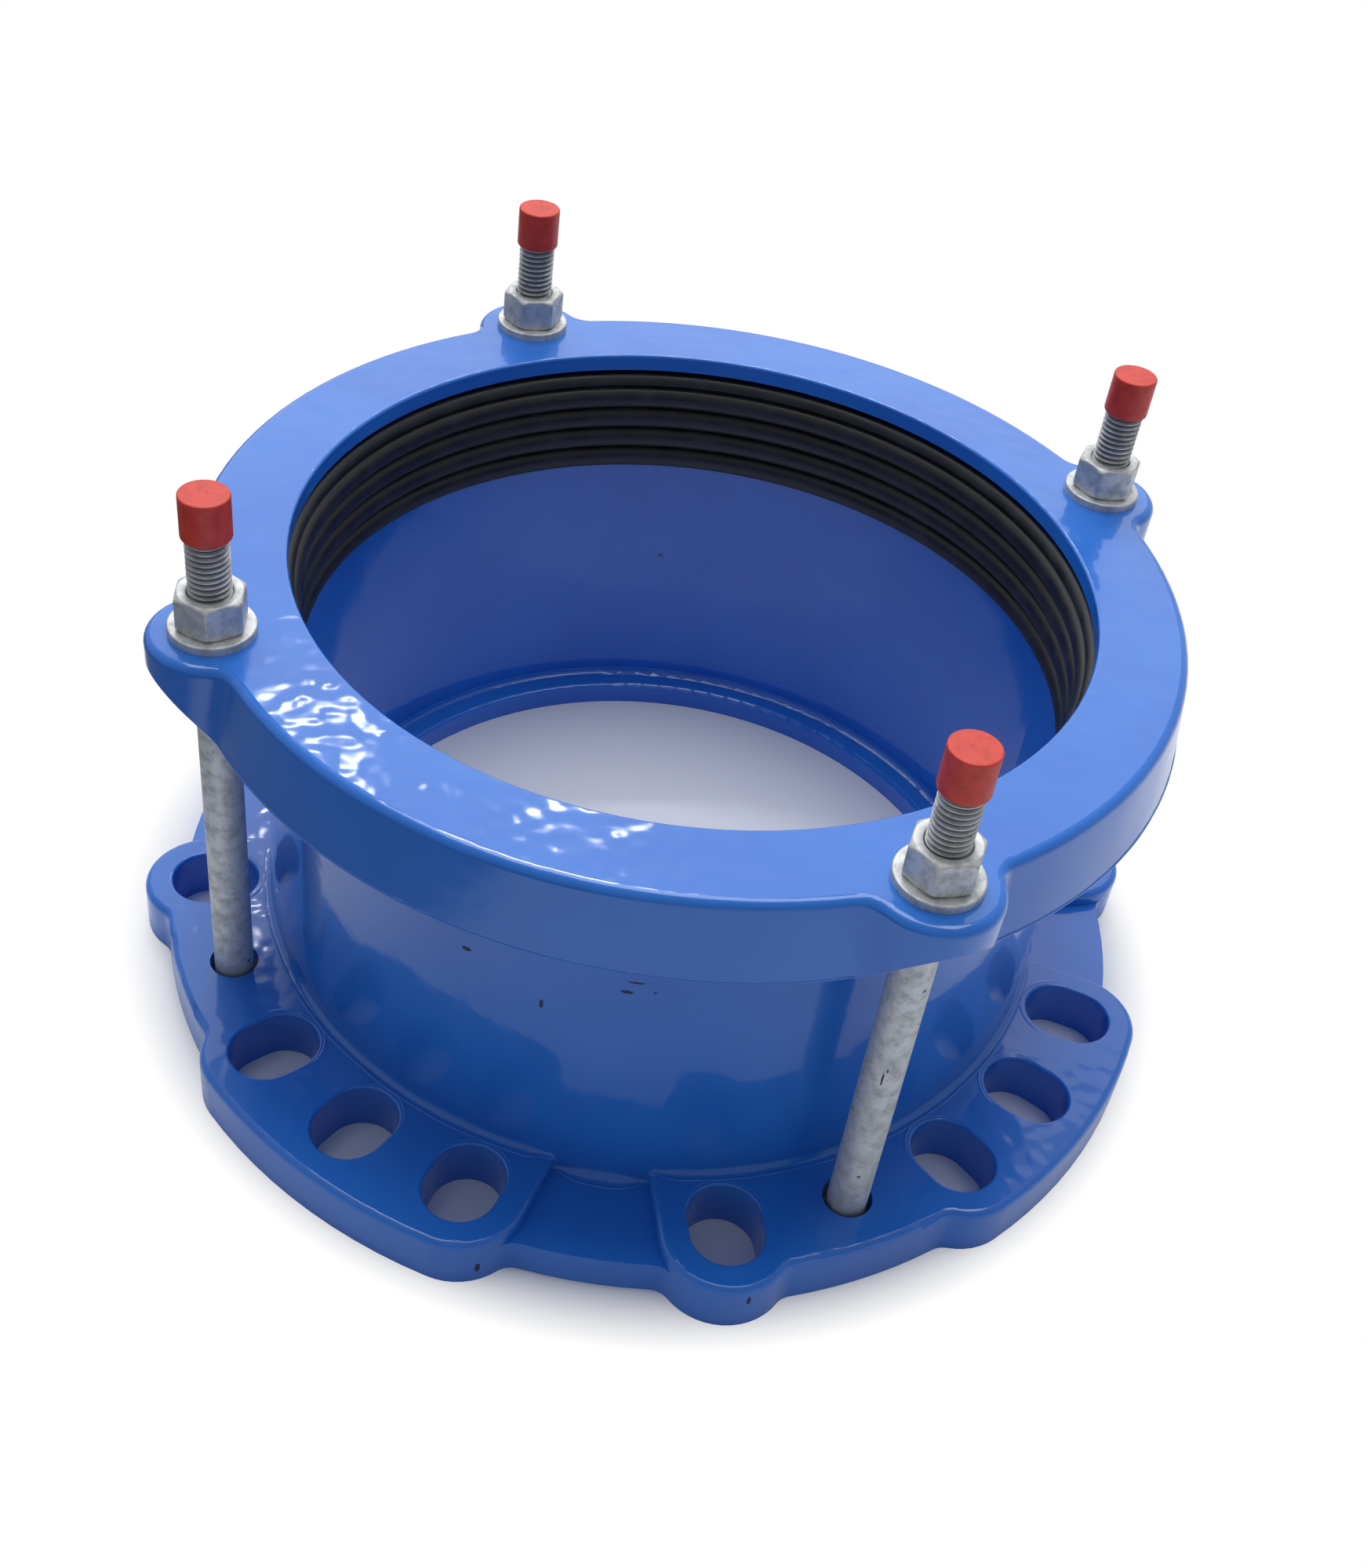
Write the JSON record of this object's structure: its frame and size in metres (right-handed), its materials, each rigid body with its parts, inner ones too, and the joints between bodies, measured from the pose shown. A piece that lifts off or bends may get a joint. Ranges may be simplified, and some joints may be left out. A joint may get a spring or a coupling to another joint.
{
  "type": "universal flange adaptor",
  "caption": "Cast flange with radial slots, a socket barrel for a plain pipe end, and a bolted gland ring that squeezes a ridged rubber gasket onto the pipe.",
  "frame": {"origin": "centre of the flange's mating face", "axes": "+Z along the pipe, from the flange towards the gland; +X through the middle of a slot that both hole patterns share"},
  "size_m": [0.34, 0.34, 0.1908],
  "materials": {
    "epoxy_casting": "glossy fusion bonded epoxy coat on ductile iron",
    "gasket_rubber": "moulded, matt",
    "zinc_flake_bolt": "zinc coated, matt",
    "zinc_flake_washer": "zinc coated, matt",
    "zinc_flake_nut": "zinc coated, matt",
    "red_cap_plastic": "soft moulded plastic"
  },
  "bodies": {
    "flange": {"flange_body": "epoxy_casting", "gasket_ring": "gasket_rubber", "stud_bolt_1": "zinc_flake_bolt", "stud_bolt_2": "zinc_flake_bolt", "stud_bolt_3": "zinc_flake_bolt", "stud_bolt_4": "zinc_flake_bolt"},
    "gland": {"gland_ring": "epoxy_casting", "washer_1": "zinc_flake_washer", "washer_2": "zinc_flake_washer", "washer_3": "zinc_flake_washer", "washer_4": "zinc_flake_washer"},
    "nut_1": {"hex_nut_1": "zinc_flake_nut"},
    "nut_2": {"hex_nut_2": "zinc_flake_nut"},
    "nut_3": {"hex_nut_3": "zinc_flake_nut"},
    "nut_4": {"hex_nut_4": "zinc_flake_nut"},
    "cap_1": {"thread_cap_1": "red_cap_plastic"},
    "cap_2": {"thread_cap_2": "red_cap_plastic"},
    "cap_3": {"thread_cap_3": "red_cap_plastic"},
    "cap_4": {"thread_cap_4": "red_cap_plastic"}
  },
  "joints": [
    {"name": "gland_slide", "type": "slide", "parent": "flange", "child": "gland", "axis": [0, 0, -1], "range_m": [0, 0.009], "deforming": ["gasket_ring"]},
    {"name": "nut_turn_1", "type": "hinge", "parent": "gland", "child": "nut_1", "pos_m": [0.14054, 0.03766, 0.1553], "axis": [0, 0, -1], "range_deg": [0, 1855]},
    {"name": "nut_turn_2", "type": "hinge", "parent": "gland", "child": "nut_2", "pos_m": [-0.03766, 0.14054, 0.1553], "axis": [0, 0, -1], "range_deg": [0, 1855]},
    {"name": "nut_turn_3", "type": "hinge", "parent": "gland", "child": "nut_3", "pos_m": [-0.14054, -0.03766, 0.1553], "axis": [0, 0, -1], "range_deg": [0, 1855]},
    {"name": "nut_turn_4", "type": "hinge", "parent": "gland", "child": "nut_4", "pos_m": [0.03766, -0.14054, 0.1553], "axis": [0, 0, -1], "range_deg": [0, 1855]},
    {"name": "cap_pull_1", "type": "slide", "parent": "flange", "child": "cap_1", "axis": [0, 0, 1], "range_m": [0, 0.02]},
    {"name": "cap_pull_2", "type": "slide", "parent": "flange", "child": "cap_2", "axis": [0, 0, 1], "range_m": [0, 0.02]},
    {"name": "cap_pull_3", "type": "slide", "parent": "flange", "child": "cap_3", "axis": [0, 0, 1], "range_m": [0, 0.02]},
    {"name": "cap_pull_4", "type": "slide", "parent": "flange", "child": "cap_4", "axis": [0, 0, 1], "range_m": [0, 0.02]}
  ],
  "couplings": [
    {"joint": "nut_turn_1", "follows": "gland_slide", "rad_per_m": 3590.4},
    {"joint": "nut_turn_2", "follows": "gland_slide", "rad_per_m": 3590.4},
    {"joint": "nut_turn_3", "follows": "gland_slide", "rad_per_m": 3590.4},
    {"joint": "nut_turn_4", "follows": "gland_slide", "rad_per_m": 3590.4}
  ]
}
